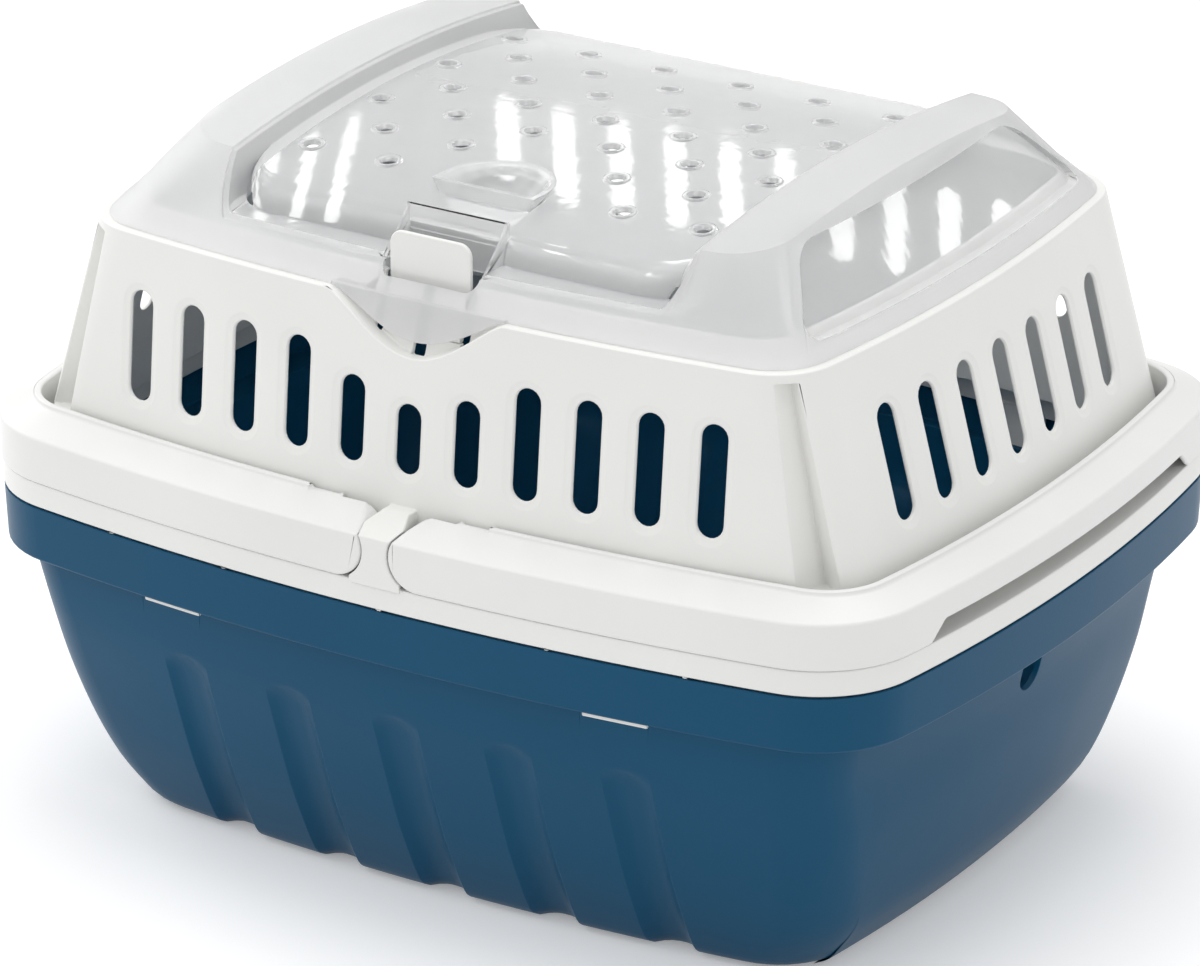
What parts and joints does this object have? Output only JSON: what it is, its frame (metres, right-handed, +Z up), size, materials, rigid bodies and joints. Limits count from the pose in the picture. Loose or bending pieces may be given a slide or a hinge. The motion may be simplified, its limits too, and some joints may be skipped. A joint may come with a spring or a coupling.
{
  "type": "pet carrier",
  "caption": "Small-animal carrier: open tub, slotted upper housing, clear vented lid with a front latch tongue, and a two-part swing-up carrying handle.",
  "frame": {"origin": "middle of the tub's floor, on the surface that the carrier stands on", "axes": "+X along the length, -Y to the front with the latch, +Z up"},
  "size_m": [0.402, 0.312, 0.2764],
  "materials": {
    "tub": "satin moulded polypropylene, deep blue",
    "housing": "satin moulded polypropylene, off-white",
    "handle": "satin moulded polypropylene, off-white",
    "lid": "clear polished plastic with frosted border and end bands"
  },
  "bodies": {
    "tub": {"base_tub": "tub"},
    "housing": {"upper_housing": "housing"},
    "latch": {"latch_tongue": "housing"},
    "left_handle": {"handle_left": "handle"},
    "right_handle": {"handle_right": "handle"},
    "lid": {"lid": "lid"}
  },
  "joints": [
    {"name": "housing_lift", "type": "slide", "parent": "tub", "child": "housing", "axis": [0, 0, 1], "range_m": [0, 0.04]},
    {"name": "lid_lift", "type": "slide", "parent": "housing", "child": "lid", "axis": [0, 0, 1], "range_m": [0, 0.038]},
    {"name": "handle_left_swing", "type": "hinge", "parent": "housing", "child": "left_handle", "pos_m": [-0.0175, 0, 0.1533], "axis": [0, 1, 0], "range_deg": [0, 90]},
    {"name": "handle_right_swing", "type": "hinge", "parent": "housing", "child": "right_handle", "pos_m": [0.0175, 0, 0.1533], "axis": [0, -1, 0], "range_deg": [0, 90]},
    {"name": "latch_flex", "type": "hinge", "parent": "housing", "child": "latch", "pos_m": [0, -0.1224, 0.2263], "axis": [-1, 0, 0], "range_deg": [0, 6], "stiffness_Nm_per_rad": 0.4}
  ]
}
